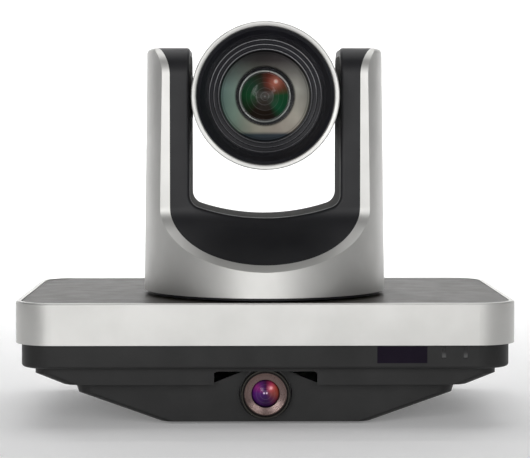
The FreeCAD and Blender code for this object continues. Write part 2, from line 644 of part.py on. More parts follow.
def pan_bridge():
    """Bridge over the tray that carries the pan bearing and the motor on four legs."""
    body = slab(-50, PAN_Y - 40, 88, PAN_Y + 40, 8, BRIDGE_Z, BEARING_Z)
    cup = cyl(BEARING_R + 3.0, BEARING_W, V(0, PAN_Y, BEARING_Z))
    legs = [cyl(4.0, BRIDGE_Z - FLOOR_TOP, V(x, PAN_Y + sy * 34, FLOOR_TOP)) for x in (-94, 94) for sy in (-1, 1)]
    wings = [box(-100, PAN_Y + sy * 34 - 5, BRIDGE_Z, 100, PAN_Y + sy * 34 + 5, BEARING_Z) for sy in (-1, 1)]
    body = body.fuse(cup).fuse(legs).fuse(wings)
    body = body.cut(cyl(BEARING_R, 20, V(0, PAN_Y, BEARING_Z)))
    body = body.cut(cyl(BEARING_R - 2.5, 40, V(0, PAN_Y, BRIDGE_Z - 5)))
    return body.cut(cyl(4.0, 20, V(PAN_MOTOR_X, PAN_Y, BRIDGE_Z - 5)))


def pan_bearing_outer():
    return tube(BEARING_R, BEARING_R - RACE_T, BEARING_W, V(0, PAN_Y, BEARING_Z))


def pan_bearing_inner():
    """Inner race with the ball row standing on it."""
    race = tube(SPINDLE_R + RACE_T, SPINDLE_R, BEARING_W, V(0, PAN_Y, BEARING_Z))
    gap = (BEARING_R - RACE_T) - (SPINDLE_R + RACE_T)
    ball_r = gap / 2 + RUN_GAP
    ring_r = SPINDLE_R + RACE_T + ball_r - 3 * RUN_GAP
    count = 16
    z = BEARING_Z + BEARING_W / 2
    balls = []
    for i in range(count):
        a = 2 * math.pi * i / count
        balls.append(Part.makeSphere(ball_r, V(ring_r * math.cos(a), PAN_Y + ring_r * math.sin(a), z)))
    return race.fuse(balls)


def turntable():
    """Dark disc under the yoke, hollow spindle and toothed pulley, turned as one piece."""
    r = YOKE_R - 2.4
    disc_low = RIM + 0.7
    profile = [(SPINDLE_BORE, YOKE_BOTTOM), (SPINDLE_BORE, PULLEY_Z), (PAN_PULLEY_R + 1.2, PULLEY_Z),
               (PAN_PULLEY_R + 1.2, PULLEY_Z + 0.5), (PAN_PULLEY_R, PULLEY_Z + 0.5),
               (PAN_PULLEY_R, PULLEY_Z + PULLEY_T), (SPINDLE_R + 1.0, PULLEY_Z + PULLEY_T),
               (SPINDLE_R - 0.0, PULLEY_Z + PULLEY_T), (SPINDLE_R, BEARING_Z + BEARING_W),
               (SPINDLE_R + 2.0, BEARING_Z + BEARING_W), (HUB_R, BEARING_Z + BEARING_W + 2.0),
               (HUB_R, disc_low), (r, disc_low), (r, YOKE_BOTTOM)]
    return spin_z(profile).cut(group([cyl(SCREW_R, 20, p) for p in yoke_screw_places()]))


def pan_motor():
    """Flat stepper hanging upside down on the bridge."""
    top = PLATE_UNDER - 2.5
    can = cyl(PAN_MOTOR_R, top - BEARING_Z, V(PAN_MOTOR_X, PAN_Y, BEARING_Z))
    boss = cyl(3.9, BRIDGE_T, V(PAN_MOTOR_X, PAN_Y, BRIDGE_Z))
    bore = cyl(1.6, 12, V(PAN_MOTOR_X, PAN_Y, BRIDGE_Z - 1))
    return can.fuse(boss).cut(bore)


def pan_motor_pulley():
    """Small pulley on the motor's shaft."""
    low = PULLEY_Z
    body = cyl(PAN_PINION_R, PULLEY_T, V(PAN_MOTOR_X, PAN_Y, low))
    body = body.fuse(cyl(PAN_PINION_R + 1.0, 0.5, V(PAN_MOTOR_X, PAN_Y, low)))
    return body.fuse(cyl(1.5, BRIDGE_Z - low + 9, V(PAN_MOTOR_X, PAN_Y, low)))


def belt(centre_a, radius_a, centre_b, radius_b, axis, width):
    """Flat loop round two pulleys, running just clear of both."""
    def loop(extra):
        ra, rb = radius_a + extra, radius_b + extra
        span = centre_b - centre_a
        length = span.Length
        along = V(span.x, span.y, span.z).normalize()
        across = axis.cross(along)
        lean = math.asin((ra - rb) / length)
        points = []
        for side in (1, -1):
            normal = along * math.sin(lean) + across * (side * math.cos(lean))
            points.append((centre_a + normal * ra, centre_b + normal * rb))
        (a1, b1), (a2, b2) = points
        return Part.Wire([
            Part.makeLine(a1, b1),
            Part.Arc(b1, centre_b + along * rb, b2).toShape(),
            Part.makeLine(b2, a2),
            Part.Arc(a2, centre_a - along * ra, a1).toShape(),
        ])
    outer = Part.Face(loop(BELT_CLEAR + BELT_T)).extrude(axis * width)
    return outer.cut(Part.Face(loop(BELT_CLEAR)).extrude(axis * width))


BELT_CLEAR = 0.15


def pan_belt():
    z = PULLEY_Z + 0.7
    return belt(V(0, PAN_Y, z), PAN_PULLEY_R, V(PAN_MOTOR_X, PAN_Y, z), PAN_PINION_R, V(0, 0, 1), BELT_W)


# ---- yoke --------------------------------------------------------------------------------------
ARM_FACE = math.sqrt(YOKE_R ** 2 - FACE_HALF ** 2)   # arm's front face ahead of the pan axis


def drum(inset):
    """The yoke's outer form: a slightly tapered drum with a rounded top edge."""
    low, high = YOKE_BOTTOM + inset, YOKE_TOP_Z - inset
    r0, r1 = YOKE_R - inset, YOKE_TOP_R - inset
    k = max(YOKE_ROUND - inset, 0.3)
    j = k * (1 - math.sqrt(0.5))
    c = PAN_CENTRE
    points = [c + V(0, 0, low), c + V(r0, 0, low), c + V(r1, 0, high - k), c + V(r1 - k, 0, high), c + V(0, 0, high)]
    edges = [
        Part.makeLine(points[0], points[1]),
        Part.makeLine(points[1], points[2]),
        Part.Arc(points[2], c + V(r1 - j, 0, high - j), points[3]).toShape(),
        Part.makeLine(points[3], points[4]),
        Part.makeLine(points[4], points[0]),
    ]
    return Part.Face(Part.Wire(edges)).revolve(c, V(0, 0, 1), 360)


def channel(grow):
    """The gap between the arms, with a gently curved floor and rounded corners."""
    half = GAP_HALF + grow
    floor_z = RIM + FLOOR_H - grow
    radius = FLOOR_R + grow
    body = box(-half, PAN_Y - 90, floor_z - 1, half, PAN_Y + 90, YOKE_TOP_Z + 20)
    body = body.common(cyl(radius, 200, V(0, PAN_Y - 100, floor_z + radius), V(0, 1, 0)))
    corners = [e for e in body.Edges if e.Length > 170 and e.Vertexes[0].Z < floor_z + 20
               and abs(abs(e.Vertexes[0].X) - half) < 0.01]
    return body.makeFillet(FLOOR_CORNER + grow, corners)


def scoop(inset):
    """What is taken off the drum's front: flat faces on the arms, running forward at the bottom."""
    face = ARM_FACE - inset
    top = YOKE_TOP_Z - inset
    k = ARM_FRONT_R - inset
    j = k * (1 - math.sqrt(0.5))
    high, low = RIM + SCOOP_TOP, RIM + SCOOP_BOTTOM
    shift = V(0, inset, -0.8 * inset)

    def at(y, z):
        return V(-100, PAN_Y + y, z)

    curve = []
    for i in range(5):
        t = i / 4
        x = FACE_HALF * math.sqrt(1 - t * t)
        curve.append(at(-math.sqrt(YOKE_R ** 2 - x * x), high - t * (high - low)) + shift)
    spline = Part.BSplineCurve()
    spline.interpolate(Points=curve, InitialTangent=V(0, 0, -1), FinalTangent=V(0, -1.37, -1))
    out = curve[-1] + V(0, -20, -20 / 1.37)
    edges = [
        Part.makeLine(at(-face + k, top + 30), at(-face + k, top)),
        Part.Arc(at(-face + k, top), at(-face + j, top - j), at(-face, top - k)).toShape(),
        Part.makeLine(at(-face, top - k), curve[0]),
        spline.toShape(),
        Part.makeLine(curve[-1], out),
        Part.makeLine(out, V(-100, out.y, top + 30)),
        Part.makeLine(V(-100, out.y, top + 30), at(-face + k, top + 30)),
    ]
    return Part.Face(Part.Wire(edges)).extrude(V(200, 0, 0))


def mirrored(shape):
    """The same shape on the other side of the yoke's middle plane."""
    return shape.mirror(PAN_CENTRE, V(0, 1, 0))


def yoke_core(inset):
    cut = scoop(inset)
    return drum(inset).cut(channel(inset)).cut(cut).cut(mirrored(cut))


def insert_wrap():
    """Whatever lies just under the arms' fronts, backs and tops."""
    edge = scoop(INSERT_WRAP)
    top = box(-100, PAN_Y - 100, YOKE_TOP_Z - INSERT_WRAP, 100, PAN_Y + 100, YOKE_TOP_Z + 10)
    return edge.fuse([mirrored(edge), top])


def edges_on(shape, solids):
    """Edges of the shape that run along the surface of every one of the solids."""
    def runs_along(edge, solid):
        span = edge.LastParameter - edge.FirstParameter
        spots = [Part.Vertex(edge.valueAt(edge.FirstParameter + span * t)) for t in (0.1, 0.5, 0.9)]
        return all(min(face.distToShape(spot)[0] for face in solid.Faces) < 0.02 for spot in spots)

    return [edge for edge in shape.Edges if all(runs_along(edge, solid) for solid in solids)]


def yoke_pieces():
    """Split the yoke's skin into liner, black inserts and silver shells; front and rear are alike."""
    skin = yoke_core(0).cut(yoke_core(YOKE_WALL))
    skin = skin.cut(cyl(YOKE_R - YOKE_WALL, YOKE_WALL + 0.01, V(0, PAN_Y, YOKE_BOTTOM)))
    liner = skin.common(channel(YOKE_WALL)).cut(insert_wrap())
    holes = cyl(SHAFT_R + 3.0, 200, V(-100, PAN_Y, TILT_Z), V(1, 0, 0))
    rest = skin.cut(liner)
    inserts = rest.common(cyl(INSERT_R, YOKE_TOP_Z, PAN_CENTRE))
    front = box(-100, PAN_Y - 100, 0, 100, PAN_Y, YOKE_TOP_Z + 20)
    shell = rest.cut(inserts).common(front)
    insert = inserts.common(front)
    gap_edges = edges_on(insert, [channel(0), drum(0).cut(scoop(0))])
    insert = insert.makeFillet(INSERT_ROUND, gap_edges)
    return {
        "channel_liner": liner.cut(holes),
        "yoke_insert_front": insert,
        "yoke_insert_rear": mirrored(insert),
        "yoke_front_shell": shell,
        "yoke_rear_shell": mirrored(shell),
    }


def yoke_frame():
    """Cast base disc with an upright on each side for the tilt bearings."""
    base = cyl(YOKE_R - YOKE_WALL - FIT, FRAME_BASE_T, V(0, PAN_Y, YOKE_BOTTOM))
    z0 = YOKE_BOTTOM + FRAME_BASE_T
    arms = []
    for sign in (-1, 1):
        x0, x1 = sorted((sign * FRAME_ARM_X, sign * (FRAME_ARM_X + FRAME_ARM_T)))
        plate = box(x0, PAN_Y - FRAME_ARM_HALF, z0, x1, PAN_Y + FRAME_ARM_HALF, TILT_Z)
        head = cyl(FRAME_ARM_HALF, FRAME_ARM_T, V(x0, PAN_Y, TILT_Z), V(1, 0, 0))
        arms.append(plate.fuse(head).common(yoke_core(YOKE_WALL + 0.3)))
    body = base.fuse(arms)
    body = body.cut(cyl(SPINDLE_BORE, 20, V(0, PAN_Y, YOKE_BOTTOM - 5)))
    body = body.cut(cyl(TILT_BEARING_R, 200, V(-100, PAN_Y, TILT_Z), V(1, 0, 0)))
    motor_z = RIM + TILT_MOTOR_H
    body = body.cut(cyl(3.0, 100, V(0, PAN_Y, motor_z), V(1, 0, 0)))
    return body.cut(group([cyl(SCREW_R, 20, p) for p in yoke_screw_places()]))


def yoke_screw_places():
    """Screws that clamp the turntable to the frame."""
    return [V(28 * math.cos(a), PAN_Y + 28 * math.sin(a), YOKE_BOTTOM + FRAME_BASE_T - 10)
            for a in (math.pi / 4, 3 * math.pi / 4, 5 * math.pi / 4, 7 * math.pi / 4)]


def yoke_screws():
    return group([
        cyl(SCREW_R, 10, p).fuse(cyl(SCREW_HEAD_R, SCREW_HEAD_T, p + V(0, 0, 10)))
        for p in yoke_screw_places()
    ])


def on_both_sides(make):
    """make(sign) for the left and the right arm, as one group."""
    return group([make(-1), make(1)])


def tube_x(outer, inner, x0, x1, sign):
    start = sign * x0 if sign > 0 else -x1
    return tube(outer, inner, x1 - x0, V(start, PAN_Y, TILT_Z), V(1, 0, 0))


def tilt_bearings():
    start, end = FRAME_ARM_X - 3.0, TILT_BELT_X - 1.0
    return on_both_sides(lambda s: tube_x(TILT_BEARING_R, SHAFT_R + RUN_GAP, start, end, s))


def trunnion_collars():
    """Black flanged bushes where the shafts leave the arms."""
    def make(sign):
        flange = tube_x(COLLAR_R, SHAFT_R + 0.5, GAP_HALF - 0.9, GAP_HALF, sign)
        return flange.fuse(tube_x(SHAFT_R + 2.8, SHAFT_R + 0.5, GAP_HALF, FRAME_ARM_X - 3.5, sign))
    return on_both_sides(make)


def tilt_motor():
    """Motor lying in the drum with its flange against the right upright."""
    z = RIM + TILT_MOTOR_H
    can = cyl(TILT_MOTOR_R, TILT_MOTOR_L, V(FRAME_ARM_X - TILT_MOTOR_L, PAN_Y, z), V(1, 0, 0))
    nose = cyl(2.8, FRAME_ARM_T, V(FRAME_ARM_X, PAN_Y, z), V(1, 0, 0))
    return can.fuse(nose).cut(cyl(1.3, 30, V(FRAME_ARM_X - 10, PAN_Y, z), V(1, 0, 0)))


def tilt_motor_pulley():
    z = RIM + TILT_MOTOR_H
    x1 = TILT_BELT_X + TILT_BELT_W
    wheel = cyl(TILT_PINION_R, TILT_BELT_W + 0.6, V(TILT_BELT_X - 0.3, PAN_Y, z), V(1, 0, 0))
    return wheel.fuse(cyl(1.2, x1 - FRAME_ARM_X + 8, V(FRAME_ARM_X - 8, PAN_Y, z), V(1, 0, 0)))


def tilt_pulley():
    return tube(TILT_PULLEY_R, SHAFT_R, TILT_BELT_W + 0.6, V(TILT_BELT_X - 0.3, PAN_Y, TILT_Z), V(1, 0, 0))


def tilt_belt():
    low, high = V(TILT_BELT_X, PAN_Y, RIM + TILT_MOTOR_H), V(TILT_BELT_X, PAN_Y, TILT_Z)
    return belt(high, TILT_PULLEY_R, low, TILT_PINION_R, V(1, 0, 0), TILT_BELT_W)


def driver_board():
    """Motor driver board on the outside of the left upright."""
    x1 = -(FRAME_ARM_X + FRAME_ARM_T)
    z0, z1 = RIM + 48, RIM + 92
    board = box(x1 - 1.6, PAN_Y - 17, z0, x1, PAN_Y + 17, z1)
    chips = [box(x1 - 3.2, PAN_Y - 10, z, x1 - 1.6, PAN_Y + 2, z + 10) for z in (z0 + 5, z0 + 25)]
    return board.fuse(chips)


# ---- head --------------------------------------------------------------------------------------
def spin_head(points):
    """Revolve (radius, ahead of the tilt axis) points round the optical axis."""
    return spin_y(points, TILT_Z, PAN_Y)


def shaft_holes(radius):
    return cyl(radius, 200, V(-100, PAN_Y, TILT_Z), V(1, 0, 0))


def head_front_shell():
    """Silver ring and barrel of the head."""
    r, w = HEAD_R, HEAD_WALL
    profile = [(r, HEAD_SPLIT), (r, HEAD_FRONT - 1.2), (r - 0.35, HEAD_FRONT - 0.35), (r - 1.2, HEAD_FRONT),
               (r - w, HEAD_FRONT - 0.4), (r - w, HEAD_SPLIT)]
    return spin_head(profile).cut(shaft_holes(SHAFT_R + 0.3))


def back_profile(inset, steps=6):
    """Rounded back of the head, as (radius, ahead) points from rim to axis."""
    r, k = HEAD_R - inset, HEAD_BACK_R - inset
    back = -HEAD_BACK + inset
    points = [(r, HEAD_SPLIT)]
    for i in range(steps + 1):
        a = math.pi / 2 * i / steps
        points.append((r - k + k * math.cos(a), back + k - k * math.sin(a)))
    return points + [(0, back)]


def head_rear_shell():
    outer = spin_head(back_profile(0) + [(0, HEAD_SPLIT)])
    inner = spin_head(back_profile(HEAD_WALL) + [(0, HEAD_SPLIT)])
    return outer.cut(inner)


HOOD_OUT_R = HEAD_R - HEAD_WALL
HOOD_FRONT = HEAD_FRONT - 1.0
STEP_U = HOOD_FRONT - HOOD_DEPTH
GLASS_SEAT = STEP_U - 5.0
GLASS_EDGE_R = GLASS_R + 1.3
BARREL_FRONT = GLASS_SEAT
BARREL_BACK = -22.0
BARREL_THIN_R = 24.0
ZOOM_BORE = ZOOM_R + SLIDE_GAP
ZOOM_FRONT = 24.0
ZOOM_L = 12.0
FOCUS_FRONT = 0.0
FOCUS_L = 8.0


def lens_hood():
    """Black cone from the silver ring down to the front glass, with two fine steps."""
    profile = [(HOOD_OUT_R, HOOD_FRONT), (HOOD_OUT_R, GLASS_SEAT), (GLASS_R, GLASS_SEAT),
               (GLASS_R, STEP_U - 2.6), (STEP_R, STEP_U - 1.6), (STEP_R, STEP_U - 0.8),
               (HOOD_IN_R, STEP_U - 0.8), (HOOD_IN_R, STEP_U), (HOOD_OUT_R - 0.4, HOOD_FRONT)]
    return spin_head(profile)


def dome(radius, edge_u, sag, thick, rim_r):
    """Lens: a flat-backed disc with a bulging front."""
    cap_r = (radius * radius + sag * sag) / (2 * sag)
    centre = V(0, PAN_Y - (edge_u + sag - cap_r), TILT_Z)
    front = Part.makeSphere(cap_r, centre).common(cyl(radius, sag + 1, V(0, PAN_Y - edge_u, TILT_Z), V(0, -1, 0)))
    rim = cyl(rim_r, thick, V(0, PAN_Y - edge_u, TILT_Z), V(0, 1, 0))
    return rim.fuse(front)


def front_glass():
    return dome(GLASS_R - 0.1, GLASS_SEAT, 3.4, 3.0, GLASS_EDGE_R - 0.05)


def lens_barrel():
    """Stepped black barrel that holds the glass and guides the moving groups."""
    profile = [(BARREL_R, BARREL_FRONT), (BARREL_R, 28.0), (BARREL_THIN_R, 28.0), (BARREL_THIN_R, BARREL_BACK),
               (ZOOM_BORE, BARREL_BACK), (ZOOM_BORE, 26.0), (GLASS_EDGE_R - 1.6, BARREL_FRONT - 3.0),
               (GLASS_EDGE_R, BARREL_FRONT - 3.0), (GLASS_EDGE_R, BARREL_FRONT)]
    return spin_head(profile)


def zoom_cell():
    """Black ring with a bright retaining lip that slides in the barrel."""
    profile = [(ZOOM_R, ZOOM_FRONT), (ZOOM_R, ZOOM_FRONT - ZOOM_L), (ZOOM_LENS_R - 1.0, ZOOM_FRONT - ZOOM_L),
               (ZOOM_LENS_R - 1.0, ZOOM_FRONT - 7.0), (ZOOM_LENS_R + 0.05, ZOOM_FRONT - 7.0),
               (ZOOM_LENS_R + 0.1, ZOOM_FRONT - 1.2), (ZOOM_R - 2.2, ZOOM_FRONT - 0.6)]
    return spin_head(profile)


def zoom_lens():
    return dome(ZOOM_LENS_R, ZOOM_FRONT - 4.0, 2.4, 3.0, ZOOM_LENS_R)


def focus_group():
    """Rear cell with its lens."""
    ring = spin_head([(ZOOM_R, FOCUS_FRONT), (ZOOM_R, FOCUS_FRONT - FOCUS_L), (12.0, FOCUS_FRONT - FOCUS_L),
                      (12.0, FOCUS_FRONT)])
    return group([ring, dome(12.0, FOCUS_FRONT - 2.5, 1.8, 3.0, 12.0)])


def lens_cradle():
    rim = SHAFT_START + 3.0
    body = spin_head([(rim, 9.0), (rim, -9.0), (BARREL_THIN_R, -9.0), (BARREL_THIN_R, 9.0)])
    for sign in (-1, 1):
        body = body.cut(cyl(SHAFT_R, 10, V(sign * SHAFT_START, PAN_Y, TILT_Z), V(sign, 0, 0)))
    return body


def tilt_shafts():
    """Stub shafts; the right one is longer and carries the pulley."""
    ends = {-1: TILT_BELT_X + 0.5, 1: TILT_BELT_X + TILT_BELT_W + 0.3}
    return on_both_sides(
        lambda s: cyl(SHAFT_R, ends[s] - SHAFT_START, V(s * SHAFT_START, PAN_Y, TILT_Z), V(s, 0, 0)))


def sensor_board():
    """Image sensor on its board behind the barrel."""
    y0 = PAN_Y - BARREL_BACK
    board = box(-22, y0, TILT_Z - 22, 22, y0 + BOARD_T, TILT_Z + 22)
    return board.fuse(box(-6, y0 - 1.2, TILT_Z - 4, 6, y0, TILT_Z + 4))


PIECES = {
    "trim_band": trim_band, "top_plate": top_plate, "base_tub": base_tub, "chin_skirt": chin_skirt,
    "chin_cover": chin_cover, "mounting_plate": mounting_plate, "tripod_insert": tripod_insert,
    "rubber_feet": rubber_feet, "rear_panel": rear_panel, "dc_jack": dc_jack, "sdi_socket": sdi_socket,
    "rs232_socket": rs232_socket, "audio_sockets": audio_sockets, "rocker_frame": rocker_frame,
    "power_rocker": power_rocker, "ir_window": ir_window, "ir_receiver": ir_receiver,
    "status_light_pipes": status_light_pipes, "main_board": main_board, "panorama_bezel": panorama_bezel,
    "panorama_glass": panorama_glass, "panorama_barrel": panorama_barrel, "panorama_holder": panorama_holder,
    "panorama_board": panorama_board, "pan_bridge": pan_bridge, "pan_bearing_outer": pan_bearing_outer,
    "pan_bearing_inner": pan_bearing_inner, "pan_motor": pan_motor, "pan_motor_pulley": pan_motor_pulley,
    "pan_belt": pan_belt, "base_screws": base_screws, "turntable": turntable, "yoke_frame": yoke_frame,
    "yoke_screws": yoke_screws, "tilt_bearings": tilt_bearings, "trunnion_collars": trunnion_collars,
    "tilt_motor": tilt_motor, "tilt_motor_pulley": tilt_motor_pulley, "tilt_belt": tilt_belt,
    "driver_board": driver_board, "head_front_shell": head_front_shell, "head_rear_shell": head_rear_shell,
    "lens_hood": lens_hood, "front_glass": front_glass, "lens_barrel": lens_barrel, "zoom_cell": zoom_cell,
    "zoom_lens": zoom_lens, "focus_group": focus_group, "lens_cradle": lens_cradle,
    "tilt_shafts": tilt_shafts, "tilt_pulley": tilt_pulley, "sensor_board": sensor_board,
}


def main():
    os.makedirs("parts", exist_ok=True)
    for name, make in PIECES.items():
        save(name, make())
    for name in SOCKETS:
        save(name, open_socket(name))
    for name, shape in yoke_pieces().items():
        save(name, shape)


main()
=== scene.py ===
# %% [markdown]
# # A tracking camera, dressed for its picture
# The machine itself was designed elsewhere, as sixty separate pieces with real joints. This script loads
# those pieces, gives each its finish, and models the pieces whose looks need more than a drawing:
# the rings, the hood and the front glass. Every cell builds one thing and says how.

# %% Load the machine
import json
import math

import bpy
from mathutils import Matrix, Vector


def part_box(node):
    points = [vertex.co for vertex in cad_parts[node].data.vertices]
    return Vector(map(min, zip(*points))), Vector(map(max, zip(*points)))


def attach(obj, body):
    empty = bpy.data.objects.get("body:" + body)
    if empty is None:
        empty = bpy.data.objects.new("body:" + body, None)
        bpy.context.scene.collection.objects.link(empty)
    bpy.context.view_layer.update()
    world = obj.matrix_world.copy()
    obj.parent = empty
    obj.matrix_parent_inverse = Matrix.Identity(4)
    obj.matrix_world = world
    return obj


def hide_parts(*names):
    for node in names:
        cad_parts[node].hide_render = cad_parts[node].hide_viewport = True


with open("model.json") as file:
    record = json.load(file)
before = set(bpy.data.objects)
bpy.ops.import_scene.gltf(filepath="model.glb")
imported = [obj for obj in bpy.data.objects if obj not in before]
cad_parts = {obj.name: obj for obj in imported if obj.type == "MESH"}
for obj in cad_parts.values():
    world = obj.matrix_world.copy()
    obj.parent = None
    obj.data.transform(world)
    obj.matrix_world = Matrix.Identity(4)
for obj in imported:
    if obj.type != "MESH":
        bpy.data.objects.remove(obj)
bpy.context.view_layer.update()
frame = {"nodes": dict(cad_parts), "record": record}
nodes = frame["nodes"]
print("machine loaded:", len(nodes), "pieces")

# %% [markdown]
# ## Places that later steps need
# Positions come from the pieces themselves. The band gives the front of the base, the head's front shell
# gives the height of the tilt axis, and the turntable gives the axis that the yoke pans about.

# %% Read the main places
band_low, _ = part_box("trim_band")
shell_low, shell_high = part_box("head_front_shell")
disc_low, disc_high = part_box("turntable")
BASE_FRONT_Y = band_low.y
TILT_Z = (shell_low.z + shell_high.z) / 2
PAN_Y = (disc_low.y + disc_high.y) / 2
MM = 0.001
print("tilt axis", round(TILT_Z, 4), "pan axis", round(PAN_Y, 4))

# %% [markdown]
# ## The camera that takes the picture
# A long lens from a little over a metre keeps the lines of the base almost parallel. The eye is a little
# lower than the zoom lens, and looks very slightly down.

# %% Place the camera
EYE_DISTANCE = 1.0630          # from the band's front
EYE_HEIGHT = 0.1688            # above the floor
EYE_SIDE = 0.0005
EYE_YAW = math.radians(0.62)   # the eye stands a touch to the left of the middle
EYE_PITCH = math.radians(3.125)
LENS_MM = 131.6

camera_data = bpy.data.cameras.new("picture_camera")
camera_data.lens = LENS_MM
camera_data.sensor_width = 36.0
camera_data.clip_start = 0.05
camera_data.clip_end = 50.0
camera = bpy.data.objects.new("picture_camera", camera_data)
bpy.context.scene.collection.objects.link(camera)
reach = EYE_DISTANCE - BASE_FRONT_Y
camera.location = (EYE_SIDE - math.sin(EYE_YAW) * reach, -math.cos(EYE_YAW) * reach, EYE_HEIGHT)
camera.rotation_euler = (math.pi / 2 - EYE_PITCH, 0, -EYE_YAW)
bpy.context.scene.camera = camera
print("camera at", [round(v, 3) for v in camera.location])

# %% [markdown]
# ## Helpers for finishes
# Most finishes start from one recipe: a Principled shader whose colour wanders a little between two
# shades, whose roughness wanders with a second noise, and whose surface carries a fine grain. Noise reads
# Object coordinates, so a grain keeps its true size on every piece.

# %% Helpers for node materials
def new_material(name):
    """A new node material; returns it with its tree and its shader."""
    material = bpy.data.materials.new(name)
    material.use_nodes = True
    tree = material.node_tree
    shader = tree.nodes["Principled BSDF"]
    return material, tree, shader


def noise(tree, scale, detail=4.0):
    """Noise in object space."""
    place = tree.nodes.new("ShaderNodeTexCoord")
    texture = tree.nodes.new("ShaderNodeTexNoise")
    texture.inputs["Scale"].default_value = scale
    texture.inputs["Detail"].default_value = detail
    tree.links.new(place.outputs["Object"], texture.inputs["Vector"])
    return texture


def between(tree, source, dark, light, low=0.35, high=0.65):
    """A colour ramp from dark to light, driven by source."""
    ramp = tree.nodes.new("ShaderNodeValToRGB")
    ramp.color_ramp.elements[0].position = low
    ramp.color_ramp.elements[0].color = (*dark, 1)
    ramp.color_ramp.elements[1].position = high
    ramp.color_ramp.elements[1].color = (*light, 1)
    tree.links.new(source, ramp.inputs["Fac"])
    return ramp.outputs["Color"]


def spread(tree, source, low, high):
    """Source mapped to low..high, over the middle of a noise's range."""
    node = tree.nodes.new("ShaderNodeMapRange")
    node.inputs["From Min"].default_value = 0.3
    node.inputs["From Max"].default_value = 0.7
    node.inputs["To Min"].default_value = low
    node.inputs["To Max"].default_value = high
    tree.links.new(source, node.inputs["Value"])
    return node.outputs["Result"]


def grain(tree, shader, scale, strength, distance):
    """Fine bumps over the whole surface."""
    texture = noise(tree, scale, 3.0)
    bump = tree.nodes.new("ShaderNodeBump")
    bump.inputs["Strength"].default_value = strength
    bump.inputs["Distance"].default_value = distance
    tree.links.new(texture.outputs["Fac"], bump.inputs["Height"])
    tree.links.new(bump.outputs["Normal"], shader.inputs["Normal"])


PATCH = 0.03       # size of a patch of slightly different colour, in metres


def finish(name, dark, light, rough, metallic=0.0, grain_size=0.0004, grain_strength=0.2, shine=0.5):
    """A painted, moulded or machined surface in the shared recipe. Sizes are in metres."""
    material, tree, shader = new_material(name)
    shader.inputs["Specular IOR Level"].default_value = shine
    shader.inputs["Metallic"].default_value = metallic
    wander = noise(tree, 1 / PATCH, 5.0)
    tree.links.new(between(tree, wander.outputs["Fac"], dark, light), shader.inputs["Base Color"])
    polish = noise(tree, 2.3 / PATCH, 6.0)
    tree.links.new(spread(tree, polish.outputs["Fac"], *rough), shader.inputs["Roughness"])
    grain(tree, shader, 1 / grain_size, grain_strength, grain_size * 0.25)
    return material


print("finish helpers ready")

# %% [markdown]
# ## The finishes
# The silver is a satin metallic paint: tiny flakes under a soft sheen. The platform is a dark, slightly
# warm powder coat that catches the light only at a low angle. The black plastics differ in shine: the
# chin has a spark-eroded grain, the yoke's insert is smoother.

# %% Silver paint
def silver_paint():
    """Satin metallic paint: flakes as small cells that lean every way."""
    material, tree, shader = new_material("silver_paint")
    shader.inputs["Metallic"].default_value = 0.9
    shader.inputs["Coat Weight"].default_value = 0.15
    shader.inputs["Coat Roughness"].default_value = 0.25
    wander = noise(tree, 35.0, 5.0)
    colour = between(tree, wander.outputs["Fac"], (0.585, 0.582, 0.562), (0.635, 0.630, 0.610))
    tree.links.new(colour, shader.inputs["Base Color"])
    polish = noise(tree, 60.0, 6.0)
    tree.links.new(spread(tree, polish.outputs["Fac"], 0.40, 0.46), shader.inputs["Roughness"])
    place = tree.nodes.new("ShaderNodeTexCoord")
    flakes = tree.nodes.new("ShaderNodeTexVoronoi")
    flakes.inputs["Scale"].default_value = 3500.0
    bump = tree.nodes.new("ShaderNodeBump")
    bump.inputs["Strength"].default_value = 0.12
    bump.inputs["Distance"].default_value = 0.00006
    tree.links.new(place.outputs["Object"], flakes.inputs["Vector"])
    tree.links.new(flakes.outputs["Distance"], bump.inputs["Height"])
    tree.links.new(bump.outputs["Normal"], shader.inputs["Normal"])
    return material


SILVER = silver_paint()
print("silver paint made")

# %% Paints, plastics and metals
PLATFORM = finish("platform_paint", (0.034, 0.030, 0.023), (0.043, 0.038, 0.030), (0.46, 0.54),
                  grain_size=0.0005, grain_strength=0.35)
CHIN_BLACK = finish("chin_plastic", (0.011, 0.011, 0.011), (0.016, 0.016, 0.016), (0.46, 0.56),
                    grain_size=0.0004, grain_strength=0.25, shine=0.33)
INSERT_BLACK = finish("insert_plastic", (0.010, 0.010, 0.012), (0.014, 0.014, 0.016), (0.38, 0.46),
                      grain_size=0.0003, grain_strength=0.15, shine=0.33)
# The liner's dark grey is painted shade: it stands for the shade and dark reflections deep in the channel
# between the yoke's arms.
LINER_PAINTED_SHADE = finish("liner_paint", (0.042, 0.041, 0.038), (0.056, 0.054, 0.049), (0.72, 0.82), shine=0.08)
LENS_BLACK = finish("lens_black", (0.008, 0.008, 0.009), (0.014, 0.014, 0.015), (0.30, 0.40),
                    grain_size=0.0003, grain_strength=0.1)
BEZEL = finish("bezel_metal", (0.62, 0.55, 0.52), (0.70, 0.63, 0.59), (0.22, 0.32), metallic=1.0)
IR_PLASTIC = finish("ir_plastic", (0.005, 0.002, 0.009), (0.007, 0.003, 0.012), (0.10, 0.16), shine=0.12,
                    grain_strength=0.02)
BOARD = finish("board_green", (0.015, 0.12, 0.05), (0.02, 0.16, 0.07), (0.35, 0.5))
STEEL = finish("steel", (0.50, 0.50, 0.51), (0.60, 0.60, 0.61), (0.28, 0.38), metallic=1.0)
BRASS = finish("brass", (0.66, 0.48, 0.20), (0.78, 0.60, 0.28), (0.22, 0.32), metallic=1.0)
RUBBER = finish("rubber", (0.018, 0.018, 0.018), (0.028, 0.028, 0.028), (0.65, 0.8))
CAST = finish("cast_alloy", (0.48, 0.48, 0.48), (0.58, 0.58, 0.58), (0.45, 0.6), metallic=0.9,
              grain_size=0.0008, grain_strength=0.4)
MOTOR = finish("motor_steel", (0.26, 0.26, 0.27), (0.34, 0.34, 0.35), (0.3, 0.42), metallic=1.0)
